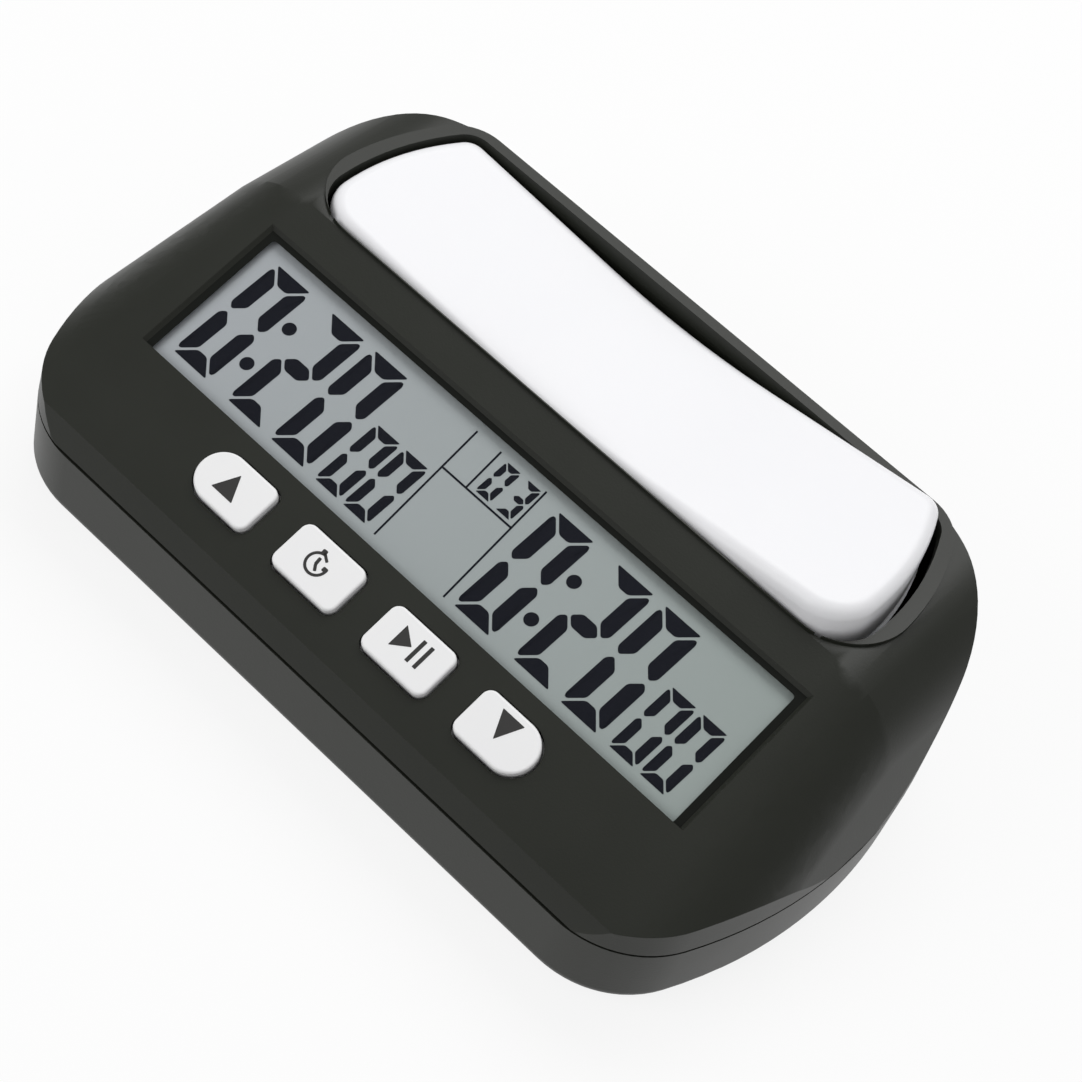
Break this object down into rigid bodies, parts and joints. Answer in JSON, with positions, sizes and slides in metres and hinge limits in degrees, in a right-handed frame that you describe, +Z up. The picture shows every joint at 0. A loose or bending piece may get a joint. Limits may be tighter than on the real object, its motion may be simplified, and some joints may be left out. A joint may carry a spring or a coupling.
{
  "type": "digital chess clock",
  "caption": "Two-player board game clock with a sloping display, a row of press keys and a long two-winged rocker lever.",
  "frame": {"origin": "centre of the bounding box on the plane the rubber feet stand on", "axes": "+X to the player-side right along the length, +Y to the back where the lever is, +Z up"},
  "size_m": [0.1358, 0.08, 0.0391],
  "materials": {
    "case_plastic": "satin black moulded plastic",
    "lever_plastic": "semi-gloss white plastic",
    "key_plastic": "white key plastic with black printed symbols",
    "window": "clear window",
    "lcd": "liquid crystal cell, grey green, with dark segments",
    "reflector": "reflector sheet",
    "frame_plastic": "white clamp frame",
    "elastomer": "contact elastomer",
    "board": "green solder mask",
    "resin": "black resin",
    "steel": "zinc plated steel",
    "nickel": "nickel plated spring steel",
    "capacitor_sleeve": "shrink sleeve",
    "silicone": "translucent silicone",
    "switch_plastic": "black switch plastic",
    "plunger_plastic": "light plunger plastic",
    "cell_wrap": "plain cell sleeve",
    "brass": "piezo disc and cup",
    "cable": "ribbon insulation",
    "lead": "wire insulation",
    "foot_rubber": "black rubber"
  },
  "bodies": {
    "case": {"top_case": "case_plastic", "bottom_case": "case_plastic", "rocker_axle": "steel", "axle_clips": "steel", "switch_board": "board", "rocker_switches": "switch_plastic", "switch_board_screws": "steel", "display_window": "window", "display_glass": "lcd", "display_reflector": "reflector", "display_frame": "frame_plastic", "contact_strips": "elastomer", "main_board": "board", "clock_chip": "resin", "crystal": "nickel", "capacitors": "capacitor_sleeve", "dome_mat": "silicone", "board_screws": "steel", "battery": "cell_wrap", "battery_spring": "nickel", "battery_plate": "nickel", "battery_leads": "lead", "power_switch": "switch_plastic", "buzzer": "brass", "ribbon_cable": "cable", "case_screws": "steel", "rubber_feet": "foot_rubber"},
    "lever": {"rocker_lever": "lever_plastic"},
    "left_plunger": {"plunger_left": "plunger_plastic"},
    "right_plunger": {"plunger_right": "plunger_plastic"},
    "up_key": {"key_up": "key_plastic"},
    "timer_key": {"key_timer": "key_plastic"},
    "play_pause_key": {"key_play_pause": "key_plastic"},
    "down_key": {"key_down": "key_plastic"},
    "door": {"battery_door": "case_plastic"},
    "knob": {"power_knob": "plunger_plastic"}
  },
  "joints": [
    {"name": "lever_rock", "type": "hinge", "parent": "case", "child": "lever", "pos_m": [0, 0.02175, 0.02417], "axis": [0, 1, 0], "range_deg": [0, 5]},
    {"name": "left_plunger_slide", "type": "slide", "parent": "case", "child": "left_plunger", "axis": [0, 0, 1], "range_m": [0, 0.0005]},
    {"name": "right_plunger_slide", "type": "slide", "parent": "case", "child": "right_plunger", "axis": [0, 0, -1], "range_m": [0, 0.0005]},
    {"name": "up_key_press", "type": "slide", "parent": "case", "child": "up_key", "axis": [0, 0.342, -0.9397], "range_m": [0, 0.0008], "stiffness_N_per_m": 300, "deforming": ["dome_mat"]},
    {"name": "timer_key_press", "type": "slide", "parent": "case", "child": "timer_key", "axis": [0, 0.342, -0.9397], "range_m": [0, 0.0008], "stiffness_N_per_m": 300, "deforming": ["dome_mat"]},
    {"name": "play_pause_key_press", "type": "slide", "parent": "case", "child": "play_pause_key", "axis": [0, 0.342, -0.9397], "range_m": [0, 0.0008], "stiffness_N_per_m": 300, "deforming": ["dome_mat"]},
    {"name": "down_key_press", "type": "slide", "parent": "case", "child": "down_key", "axis": [0, 0.342, -0.9397], "range_m": [0, 0.0008], "stiffness_N_per_m": 300, "deforming": ["dome_mat"]},
    {"name": "door_hinge", "type": "hinge", "parent": "case", "child": "door", "pos_m": [0, 0.00175, 0.002], "axis": [1, 0, 0], "range_deg": [0, 75]},
    {"name": "power_slide", "type": "slide", "parent": "case", "child": "knob", "axis": [1, 0, 0], "range_m": [0, 0.003]}
  ],
  "couplings": [
    {"joint": "left_plunger_slide", "follows": "lever_rock", "m_per_rad": 0.0057296},
    {"joint": "right_plunger_slide", "follows": "lever_rock", "m_per_rad": 0.0057296}
  ]
}
